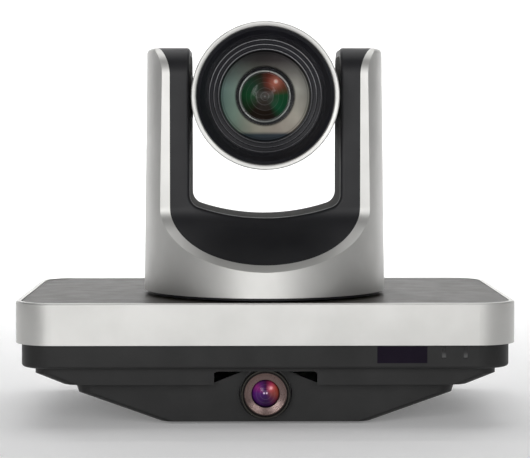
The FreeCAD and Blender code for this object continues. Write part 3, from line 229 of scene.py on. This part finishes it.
SOCKET_METAL = finish("socket_metal", (0.52, 0.51, 0.49), (0.62, 0.61, 0.59), (0.25, 0.35), metallic=1.0)
SOCKET_BLACK = finish("socket_black", (0.012, 0.012, 0.012), (0.018, 0.018, 0.018), (0.25, 0.35))
print("paints, plastics and metals made")

# %% Glass
def coated_glass(name, colour, alpha, tint):
    """Clear glass with a coloured anti-reflection coating, seen mostly by its reflections."""
    material, tree, shader = new_material(name)
    shader.inputs["Base Color"].default_value = (*colour, 1)
    shader.inputs["Roughness"].default_value = 0.02
    shader.inputs["IOR"].default_value = 1.6
    shader.inputs["Alpha"].default_value = alpha
    shader.inputs["Specular Tint"].default_value = (*tint, 1)
    shader.inputs["Coat Weight"].default_value = 0.4
    shader.inputs["Coat Roughness"].default_value = 0.02
    return material


FRONT_GLASS = coated_glass("front_glass_coating", (0.01, 0.03, 0.02), 0.25, (0.6, 1.0, 0.8))
PIPE = coated_glass("light_pipe", (0.05, 0.05, 0.05), 0.35, (1, 1, 1))
print("glass made")

# %% [markdown]
# ## Dressing the machine
# The record names a finish for every piece. The table below turns those names into the materials above.
# A piece of glass then gets its own coating.

# %% Give every piece its finish
FINISHES = {
    "silver_paint": SILVER, "platform_paint": PLATFORM, "chin_plastic": CHIN_BLACK,
    "insert_plastic": INSERT_BLACK, "liner_paint": LINER_PAINTED_SHADE, "lens_black": LENS_BLACK,
    "coated_glass": FRONT_GLASS, "bezel_metal": BEZEL, "ir_plastic": IR_PLASTIC, "light_pipe": PIPE,
    "board_green": BOARD, "steel": STEEL, "brass": BRASS, "rubber": RUBBER, "cast_alloy": CAST,
    "motor_steel": MOTOR, "socket_metal": SOCKET_METAL, "socket_black": SOCKET_BLACK,
}


def dress(piece, material):
    """One material over the whole piece."""
    piece.data.materials.clear()
    piece.data.materials.append(material)


for entry in frame["record"]["subparts"]:
    dress(nodes[entry["node"]], FINISHES[entry["material_slot"]])
print("pieces dressed:", len(nodes))

# %% [markdown]
# ## Turned pieces
# Lens hoods, trim rings and lens elements are all turned on a lathe, so they share one helper. It starts from
# a circle of edges, then extrudes it along the optical axis and scales it, one profile point at a time. A
# curve with a bevel or a Screw modifier would also do, but this keeps each ring where it is wanted. A
# profile that returns to its first point closes the skin, so the piece is solid.

# %% A lathe helper
OPTIC = (0.0, PAN_Y, TILT_Z)   # where the tilt axis and the optical axis cross


def turned(name, profile, centre=OPTIC, segments=128, closed=True):
    """Pull a circle through (radius, ahead) points in mm, ahead of centre, towards the viewer."""
    bpy.ops.object.select_all(action="DESELECT")
    points = [(max(radius, 0.001), ahead) for radius, ahead in profile + (profile[:1] if closed else [])]
    radius, ahead = points[0]
    start = (centre[0], centre[1] - ahead * MM, centre[2])
    bpy.ops.mesh.primitive_circle_add(vertices=segments, radius=radius * MM, location=start,
                                      rotation=(math.pi / 2, 0, 0))
    piece = bpy.context.active_object
    piece.name = name
    bpy.ops.object.transform_apply(location=True, rotation=True, scale=True)
    bpy.ops.object.mode_set(mode="EDIT")
    bpy.ops.mesh.select_mode(type="EDGE")
    bpy.ops.mesh.select_all(action="SELECT")
    for next_radius, next_ahead in points[1:]:
        shift = (0, (ahead - next_ahead) * MM, 0)
        bpy.ops.mesh.extrude_edges_move(TRANSFORM_OT_translate={"value": shift})
        ratio = next_radius / radius
        pivot = (centre[0], centre[1] - next_ahead * MM, centre[2])
        bpy.ops.transform.resize(value=(ratio, 1, ratio), center_override=pivot)
        radius, ahead = next_radius, next_ahead
    bpy.ops.mesh.select_all(action="SELECT")
    bpy.ops.mesh.remove_doubles(threshold=0.00001)
    bpy.ops.mesh.normals_make_consistent(inside=False)
    bpy.ops.object.mode_set(mode="OBJECT")
    bpy.ops.object.shade_smooth_by_angle(angle=math.radians(32))
    return piece


def arc(radius, sag, edge, steps=12):
    """Points of a bulging lens face, from its middle to its edge."""
    ball = (radius * radius + sag * sag) / (2 * sag)
    return [(radius * i / steps, edge + sag - ball + math.sqrt(ball ** 2 - (radius * i / steps) ** 2))
            for i in range(steps + 1)]


print("lathe ready")

# %% [markdown]
# ## The head's front ring and the hood
# A silver ring with a flat, softly edged face closes the head's barrel. Inside it lies the black cone that
# shades the front glass. It is moulded with a narrow outer lip and three fine steps; each step carries a
# thin polished bead that shows as a bright line. The ring, the hood and its beads are separate pieces,
# so that each has its own finish.

# %% Ring, hood and beads
ring = turned("head_front_ring", [(41.4, 54.0), (41.42, 57.3), (41.25, 57.8), (40.85, 58.08), (39.6, 58.08),
                                  (38.9, 57.75), (38.5, 57.0), (38.5, 54.0)])
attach(ring, "head")
dress(ring, SILVER)
hood = turned("lens_hood_cone", [
    (38.9, 55.6), (38.5, 56.2), (38.1, 56.1), (37.6, 55.6), (36.9, 54.8), (36.7, 54.7), (34.2, 50.2),
    (34.0, 50.1), (32.4, 46.9), (32.3, 45.6), (30.9, 45.2), (30.8, 44.6), (29.6, 44.3), (29.5, 43.7),
    (27.2, 43.2), (27.0, 42.6), (25.8, 42.4), (25.75, 40.2), (38.9, 40.2)])
BEAD_PLACES = ((31.6, 45.5), (29.0, 44.3), (26.4, 42.85))     # radius and distance ahead, one per step
beads = []
for bead_radius, bead_ahead in BEAD_PLACES:
    beads.append(turned("bead", [
        (bead_radius + 0.22, bead_ahead - 0.3), (bead_radius + 0.2, bead_ahead + 0.1),
        (bead_radius, bead_ahead + 0.24), (bead_radius - 0.2, bead_ahead + 0.1),
        (bead_radius - 0.22, bead_ahead - 0.3)]))
bpy.ops.object.select_all(action="DESELECT")
for bead in beads:
    bead.select_set(True)
bpy.context.view_layer.objects.active = beads[0]
bpy.ops.object.join()
beads = bpy.context.active_object
beads.name = "lens_hood_beads"
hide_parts("lens_hood")
for piece, slot in ((hood, "lens_black"), (beads, "bezel_metal")):
    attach(piece, "head")
HOOD_BLACK = finish("hood_black", (0.008, 0.008, 0.011), (0.012, 0.012, 0.016), (0.34, 0.42),
                    grain_strength=0.08, shine=0.22)
BEAD_METAL = finish("bead_metal", (0.50, 0.50, 0.52), (0.60, 0.60, 0.62), (0.25, 0.33), metallic=1.0,
                    grain_strength=0.05)
dress(hood, HOOD_BLACK)
dress(beads, BEAD_METAL)
print("hood", len(hood.data.polygons), "faces; beads", len(beads.data.polygons))

# %% [markdown]
# ## Lens colours painted by place
# A real lens shows the tint of its coating and reflections of the lamps and walls round it. Tracing those
# through stacked glass is slow and noisy, so here both are painted. The helpers below turn a piece's own
# coordinates, in millimetres, into a distance from a point, an angle round it, or a height, and drive
# colour ramps with them. The cost is that a painted reflection or bright spot stays fixed to its lens and
# turns with the head, where a true one would slide.

# %% Helpers for place-driven colour
def place_from(tree, centre):
    """Object coordinates measured from centre, in millimetres, as separate x, y and z."""
    place = tree.nodes.new("ShaderNodeTexCoord")
    mapping = tree.nodes.new("ShaderNodeMapping")
    mapping.inputs["Location"].default_value = [-v / MM for v in centre]
    mapping.inputs["Scale"].default_value = (1 / MM, 1 / MM, 1 / MM)
    split = tree.nodes.new("ShaderNodeSeparateXYZ")
    tree.links.new(place.outputs["Object"], mapping.inputs["Vector"])
    tree.links.new(mapping.outputs["Vector"], split.inputs["Vector"])
    return split.outputs["X"], split.outputs["Y"], split.outputs["Z"]


def maths(tree, operation, *values):
    """One math node; values are numbers or sockets."""
    node = tree.nodes.new("ShaderNodeMath")
    node.operation = operation
    for socket, value in zip(node.inputs, values):
        if isinstance(value, (int, float)):
            socket.default_value = value
        else:
            tree.links.new(value, socket)
    return node.outputs["Value"]


def distance(tree, x, z, at_x=0.0, at_z=0.0):
    """Distance in the lens's plane from one point."""
    dx, dz = maths(tree, "SUBTRACT", x, at_x), maths(tree, "SUBTRACT", z, at_z)
    squares = maths(tree, "ADD", maths(tree, "MULTIPLY", dx, dx), maths(tree, "MULTIPLY", dz, dz))
    return maths(tree, "SQRT", squares)


def stops(tree, value, low, high, colours):
    """A colour ramp over low..high of value; colours are (place, colour)."""
    share = tree.nodes.new("ShaderNodeMapRange")
    share.inputs["From Min"].default_value = low
    share.inputs["From Max"].default_value = high
    tree.links.new(value, share.inputs["Value"])
    ramp = tree.nodes.new("ShaderNodeValToRGB")
    elements = ramp.color_ramp.elements
    elements.remove(elements[1])
    for i, (where, colour) in enumerate(colours):
        spot = (where - low) / (high - low)
        element = elements[0] if i == 0 else elements.new(spot)
        element.position = spot
        colour = (colour,) * 3 if isinstance(colour, (int, float)) else colour
        element.color = (*colour, 1)
    tree.links.new(share.outputs["Result"], ramp.inputs["Fac"])
    return ramp.outputs["Color"]


def blend(tree, kind, share, first, second):
    """Mix two colours; share is a number or a socket."""
    node = tree.nodes.new("ShaderNodeMix")
    node.data_type = "RGBA"
    node.blend_type = kind
    if isinstance(share, (int, float)):
        node.inputs[0].default_value = share
    else:
        tree.links.new(share, node.inputs[0])
    for socket, value in ((node.inputs[6], first), (node.inputs[7], second)):
        if isinstance(value, tuple):
            socket.default_value = (*value, 1)
        else:
            tree.links.new(value, socket)
    return node.outputs[2]


print("place helpers ready")

# %% [markdown]
# ## Status light pipes
# Two small slots beside the infrared window, each with a smoked pipe whose lower end is a pale bar. The
# bar is painted by height, on the pipe itself.

# %% Light pipes
pipe_low, pipe_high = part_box("status_light_pipes")


def pipe_plastic():
    """Smoked plastic, pale at the bar near its lower end; the colour follows the height."""
    material, tree, shader = new_material("pipe_plastic")
    _, _, z = place_from(tree, pipe_low)
    colour = stops(tree, z, 0, 7, [
        (0, 0.006), (0.5, 0.012), (1.0, 0.080), (2.2, 0.070), (3.6, 0.020), (5.0, 0.012), (7, 0.004)])
    tree.links.new(colour, shader.inputs["Base Color"])
    shader.inputs["Roughness"].default_value = 0.25
    shader.inputs["Specular IOR Level"].default_value = 0.3
    return material


dress(nodes["status_light_pipes"], pipe_plastic())
print("light pipes", round((pipe_high.z - pipe_low.z) / MM, 1), "mm tall")

# %% [markdown]
# ## The front glass
# A thick lens with a bulging face. It is clear in the middle. Towards its edge it is painted over with an
# opaque veil that stands for what the glass reflects: dark at the top, pale lower down, blue at the bottom.

# %% Front element
FRONT_FACE = arc(radius=25.6, sag=3.4, edge=40.0)
FRONT_RIM_AND_BACK = [(26.9, 39.9), (26.9, 37.1), (0.0, 37.1)]
front = turned("front_element", FRONT_FACE + FRONT_RIM_AND_BACK, closed=False)
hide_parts("front_glass")
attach(front, "head")


def front_painted_reflection():
    """A clear middle; towards the edge, a veil of painted reflection coloured by height and side."""
    material, tree, shader = new_material("front_painted_reflection")
    x, _, z = place_from(tree, OPTIC)
    radius = distance(tree, x, z)
    # Painted reflection: dark at the top, pale lower down, blue at the bottom; teal to the left, paler
    # towards the right.
    height = stops(tree, z, -26, 26, [
        (-26, (0.030, 0.036, 0.050)), (-21.8, (0.045, 0.060, 0.080)), (-20.0, (0.42, 0.38, 0.34)),
        (-10, (0.48, 0.45, 0.40)), (4, (0.40, 0.39, 0.36)), (13, (0.15, 0.145, 0.135)),
        (20, (0.040, 0.034, 0.036)), (26, (0.014, 0.013, 0.016))])
    side = stops(tree, x, -26, 26, [
        (-26, (0.20, 0.36, 0.36)), (-17, (0.38, 0.58, 0.52)), (-6, (0.75, 0.80, 0.72)),
        (6, (0.9, 0.88, 0.84)), (18, (1.0, 1.0, 0.96)), (26, (0.50, 0.52, 0.50))])
    cloud = between(tree, noise(tree, 70.0, 3.0).outputs["Fac"], (0.8, 0.8, 0.8), (1.0, 1.0, 1.0))
    shader_colour = blend(tree, "MULTIPLY", 1.0, blend(tree, "MULTIPLY", 1.0, height, side), cloud)
    veil = stops(tree, radius, 0, 27, [(0, 0.0), (16.1, 0.0), (17.0, 1.0), (27, 1.0)])
    # Painted bands of light and shade: darker where the veil begins, a bright painted line near the edge
    # between two darker ones, and darker at the edge itself.
    rim = stops(tree, radius, 0, 27, [
        (0, 1.0), (16.6, 0.25), (17.6, 0.95), (23.4, 1.0), (24.3, 0.55), (24.6, 1.3), (25.0, 0.25),
        (27, 0.1)])
    tree.links.new(blend(tree, "MULTIPLY", 1.0, shader_colour, rim), shader.inputs["Base Color"])
    tree.links.new(veil, shader.inputs["Alpha"])
    shader.inputs["Roughness"].default_value = 0.30
    shader.inputs["Specular IOR Level"].default_value = 0.12
    return material


dress(front, front_painted_reflection())
print("front element", len(front.data.polygons), "faces")

# %% [markdown]
# ## The moving zoom group
# Behind the front glass sits the zoom cell: a black ring with a bright retaining lip round a strongly
# coated lens. Its colours are part coating tint, part painted reflection: green at the sides and red towards
# the upper right, with faint painted rings of light where the elements behind it show through, and a
# painted highlight at the upper right.

# %% Coated zoom lens and its lip
lip = turned("zoom_retaining_lip", [(15.2, 23.2), (15.15, 23.9), (14.8, 24.15), (14.2, 23.9), (13.75, 23.0),
                                    (13.75, 21.0), (15.2, 21.0)])
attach(lip, "zoom_carriage")
dress(lip, finish("lip_metal", (0.50, 0.52, 0.50), (0.60, 0.62, 0.60), (0.25, 0.33), metallic=0.8,
                  grain_strength=0.05))


def zoom_coating_and_painted_reflection():
    """Coating tint and painted reflection by angle, faint painted rings, and one painted highlight."""
    material, tree, shader = new_material("zoom_coating_and_painted_reflection")
    x, _, z = place_from(tree, OPTIC)
    radius = distance(tree, x, z)
    turn = maths(tree, "ARCTAN2", x, z)      # 0 at the top, positive to the right
    green, red, dark = (0.018, 0.105, 0.040), (0.33, 0.085, 0.050), (0.022, 0.015, 0.011)
    # Part coating tint, part painted reflection of the lamps, by the angle round the axis.
    hue = stops(tree, turn, -math.pi, math.pi, [
        (-3.14, dark), (-2.5, dark), (-2.1, (0.02, 0.05, 0.022)), (-1.5, green), (-0.8, (0.03, 0.085, 0.05)),
        (-0.2, (0.05, 0.045, 0.03)), (0.15, (0.20, 0.05, 0.035)), (0.65, red), (1.15, (0.20, 0.08, 0.05)),
        (1.5, green), (2.3, (0.015, 0.11, 0.05)), (2.75, dark), (3.14, dark)])
    inner = blend(tree, "MIX", stops(tree, radius, 0, 14, [(0, 0.0), (4.2, 0.15), (6.5, 0.75), (9.5, 1.0)]),
                  (0.030, 0.024, 0.018), hue)
    # Faint painted rings of light, a small painted highlight in the middle and a brighter painted ring at the
    # edge.
    rings = stops(tree, radius, 0, 14, [
        (0, 0.16), (0.7, 0.0), (2.0, 0.0), (2.3, 0.08), (2.6, 0.0), (4.6, 0.0), (4.9, 0.07), (5.2, 0.0),
        (7.7, 0.0), (8.0, 0.06), (8.3, 0.0), (10.4, 0.0), (10.7, 0.04), (11.0, 0.0), (13.2, 0.0),
        (13.6, 0.25)])
    coating_with_painted_rings = blend(tree, "ADD", 1.0, inner, rings)
    # One painted highlight towards the upper right, where a lamp shows in the lens.
    painted_highlight = stops(tree, distance(tree, x, z, 6.4, 8.6), 0, 6, [
        (0, (0.95, 0.85, 0.80)), (0.9, (0.75, 0.55, 0.50)), (1.6, (0.30, 0.12, 0.09)),
        (4.5, (0.05, 0.012, 0.01)), (6, 0.0)])
    tree.links.new(blend(tree, "ADD", 1.0, coating_with_painted_rings, painted_highlight), shader.inputs["Base Color"])
    shader.inputs["Roughness"].default_value = 0.07
    shader.inputs["Specular IOR Level"].default_value = 0.15
    return material


dress(nodes["zoom_lens"], zoom_coating_and_painted_reflection())
dress(nodes["zoom_cell"], HOOD_BLACK)
print("zoom group dressed")

# %% [markdown]
# ## The panoramic lens
# A small wide-angle lens in the chin. Its ring is turned from bronze-coloured metal: a dark outer groove,
# then a cone with fine ridges that catch the light one by one, then a bulging magenta lens.

# %% Panoramic bezel and lens
bezel_low, bezel_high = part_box("panorama_bezel")
PANO = (0.0, bezel_low.y, (bezel_low.z + bezel_high.z) / 2)
glass_low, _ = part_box("panorama_glass")
PANO_GLASS_AHEAD = (bezel_low.y - glass_low.y) / MM
RIDGES, RIDGE_R, RIDGE_STEP = 8, 11.3, 0.42       # fine rings on the cone, from the outside in
RIDGE_START, RIDGE_FALL = -0.9, 0.30              # where the cone begins, and how much each ring lies deeper
ridges = []
for i in range(RIDGES):
    ridge_radius = RIDGE_R - RIDGE_STEP * i
    ridge_ahead = RIDGE_START - RIDGE_FALL * i
    ridges += [(ridge_radius, ridge_ahead), (ridge_radius - 0.10, ridge_ahead + 0.16),
               (ridge_radius - 0.30, ridge_ahead + 0.10)]
bezel = turned("panorama_ring", [(13.9, -8.5), (13.9, -0.45), (13.55, -0.02), (12.9, -0.02), (12.5, -0.35),
                                 (12.4, -1.0), (12.0, -1.0), (11.9, -0.5)] + ridges
               + [(7.95, -3.4), (7.9, -8.5)], centre=PANO, segments=96)
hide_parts("panorama_bezel")
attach(bezel, "base")


def bronze():
    """Bronze cone inside a darkened outer rim; the colour follows the distance from the lens's axis."""
    material, tree, shader = new_material("bronze_metal")
    x, _, z = place_from(tree, PANO)
    colour = stops(tree, distance(tree, x, z), 0, 15, [
        (0, (0.20, 0.15, 0.14)), (9.3, (0.34, 0.25, 0.235)), (11.6, (0.24, 0.175, 0.16)),
        (12.0, (0.012, 0.008, 0.008)), (12.5, (0.012, 0.010, 0.010)), (12.8, (0.034, 0.032, 0.027)),
        (15, (0.030, 0.029, 0.026))])
    tree.links.new(colour, shader.inputs["Base Color"])
    shader.inputs["Metallic"].default_value = 0.85
    polish = noise(tree, 900.0, 4.0)
    tree.links.new(spread(tree, polish.outputs["Fac"], 0.26, 0.36), shader.inputs["Roughness"])
    return material


dress(bezel, bronze())


def panorama_coating_and_painted_reflection():
    """Magenta and orange by angle, part tint, part painted reflection; one painted highlight and two small
    ones.
    """
    material, tree, shader = new_material("panorama_coating_and_painted_reflection")
    x, _, z = place_from(tree, PANO)
    radius = distance(tree, x, z)
    turn = maths(tree, "ARCTAN2", x, z)
    purple, orange, night = (0.09, 0.010, 0.16), (0.40, 0.07, 0.05), (0.030, 0.008, 0.050)
    # Part coating tint, part painted reflection, by the angle round the axis.
    hue = stops(tree, turn, -math.pi, math.pi, [
        (-3.14, night), (-2.3, (0.05, 0.010, 0.10)), (-1.5, purple), (-0.9, (0.28, 0.03, 0.20)),
        (-0.4, (0.10, 0.02, 0.14)),
        (0.0, (0.05, 0.01, 0.05)), (0.5, (0.35, 0.03, 0.09)), (1.0, orange), (1.6, (0.30, 0.06, 0.04)),
        (2.2, (0.12, 0.02, 0.05)), (2.8, (0.04, 0.008, 0.06)), (3.14, night)])
    inner = blend(tree, "MIX", stops(tree, radius, 0, 8, [(0, 0.2), (1.6, 0.4), (3.2, 0.8), (6.5, 1.0)]),
                  (0.05, 0.012, 0.10), hue)
    edge = stops(tree, radius, 0, 8, [(0, 1.0), (6.6, 1.0), (7.5, 0.35), (8, 0.12)])
    # Faint painted rings of light.
    rings = stops(tree, radius, 0, 8, [
        (0, 0.0), (2.9, 0.0), (3.1, 0.05), (3.3, 0.0), (5.0, 0.0), (5.2, 0.04), (5.4, 0.0)])
    # A painted highlight towards the upper right.
    painted_highlight = stops(tree, distance(tree, x, z, 3.1, 3.3), 0, 3, [
        (0, (0.95, 0.70, 0.72)), (0.5, (0.65, 0.30, 0.32)), (1.4, (0.16, 0.03, 0.04)), (3, 0.0)])
    # Two small painted highlights, either side of the middle.
    aside = maths(tree, "ABSOLUTE", maths(tree, "SUBTRACT", x, -0.1))
    painted_twin_highlights = stops(tree, distance(tree, aside, z, 0.75, 0.5), 0, 1, [
        (0, (0.9, 0.85, 0.95)), (0.35, (0.6, 0.5, 0.65)), (0.7, 0.0)])
    colour = blend(tree, "MULTIPLY", 1.0, blend(tree, "ADD", 1.0, inner, rings), edge)
    colour = blend(tree, "ADD", 1.0, blend(tree, "ADD", 1.0, colour, painted_highlight), painted_twin_highlights)
    tree.links.new(colour, shader.inputs["Base Color"])
    shader.inputs["Roughness"].default_value = 0.06
    shader.inputs["Specular IOR Level"].default_value = 0.2
    return material


dress(nodes["panorama_glass"], panorama_coating_and_painted_reflection())
print("panoramic lens: glass", round(PANO_GLASS_AHEAD, 2), "mm ahead of the ring's front")

# %% [markdown]
# ## Floor, backdrop and light
# A white sweep: a floor that curves up behind the machine. Two large soft lights stand left and right of
# the lens, a wide low one fills from the front, one hangs above and one washes the backdrop. A grey room
# gives the metal something to reflect.

# %% The white sweep
def sweep():
    """A floor with a rounded rise at the back, extruded from one edge."""
    size, middle = 6.0, -1.0
    back_edge = middle + size / 2
    bpy.ops.object.select_all(action="DESELECT")
    bpy.ops.mesh.primitive_plane_add(size=size, location=(0, middle, 0))
    piece = bpy.context.active_object
    piece.name = "studio_floor"
    bpy.ops.object.transform_apply(location=True, rotation=True, scale=True)
    for vertex in piece.data.vertices:
        vertex.select = False
    for edge in piece.data.edges:
        ys = [piece.data.vertices[i].co.y for i in edge.vertices]
        edge.select = min(ys) > back_edge - 0.1
    for polygon in piece.data.polygons:
        polygon.select = False
    bpy.ops.object.mode_set(mode="EDIT")
    bpy.ops.mesh.select_mode(type="EDGE")
    steps, radius = 10, 1.5
    for i in range(steps):
        a0, a1 = [math.pi / 2 * (i + k) / steps for k in (0, 1)]
        move = (0, radius * (math.sin(a1) - math.sin(a0)), radius * (math.cos(a0) - math.cos(a1)))
        bpy.ops.mesh.extrude_edges_move(TRANSFORM_OT_translate={"value": move})
    bpy.ops.mesh.extrude_edges_move(TRANSFORM_OT_translate={"value": (0, 0, 3.0)})
    bpy.ops.object.mode_set(mode="OBJECT")
    bpy.ops.object.shade_smooth()
    return piece


floor = sweep()
PAPER = finish("studio_paper", (0.86, 0.86, 0.86), (0.89, 0.89, 0.89), (0.8, 0.9), grain_size=0.002)
paper_shader = PAPER.node_tree.nodes["Principled BSDF"]
paper_shader.inputs["Emission Color"].default_value = (1, 1, 1, 1)
paper_shader.inputs["Emission Strength"].default_value = 0.15      # lifts the shadow on the paper
dress(floor, PAPER)
print("sweep made")

# %% Soft lights
def softbox(name, location, aim, size, power):
    """A rectangular area light that faces aim."""
    data = bpy.data.lights.new(name, "AREA")
    data.shape = "RECTANGLE"
    data.size, data.size_y = size
    data.energy = power
    lamp = bpy.data.objects.new(name, data)
    bpy.context.scene.collection.objects.link(lamp)
    lamp.location = location
    lamp.rotation_euler = (Vector(aim) - Vector(location)).to_track_quat("-Z", "Y").to_euler()
    return lamp


AIM = (0, PAN_Y, 0.12)
softbox("key_left", (-0.85, -2.2, 0.75), AIM, (0.7, 0.9), 10.5)
softbox("key_right", (0.80, -2.1, 0.95), AIM, (0.7, 0.9), 7.5)
softbox("front_fill", (0, -2.8, 0.35), AIM, (1.6, 0.6), 9)
softbox("top", (0, 0.1, 1.9), AIM, (1.4, 1.0), 6)
softbox("backdrop_wash", (0, 1.2, 2.2), (0, 3.2, 0.6), (3.0, 1.0), 90)

world = bpy.data.worlds.new("studio")
bpy.context.scene.world = world
world.use_nodes = True
world.node_tree.nodes["Background"].inputs["Color"].default_value = (0.55, 0.55, 0.56, 1)
world.node_tree.nodes["Background"].inputs["Strength"].default_value = 0.32
bpy.context.scene.view_settings.view_transform = "Standard"
print("lights set")
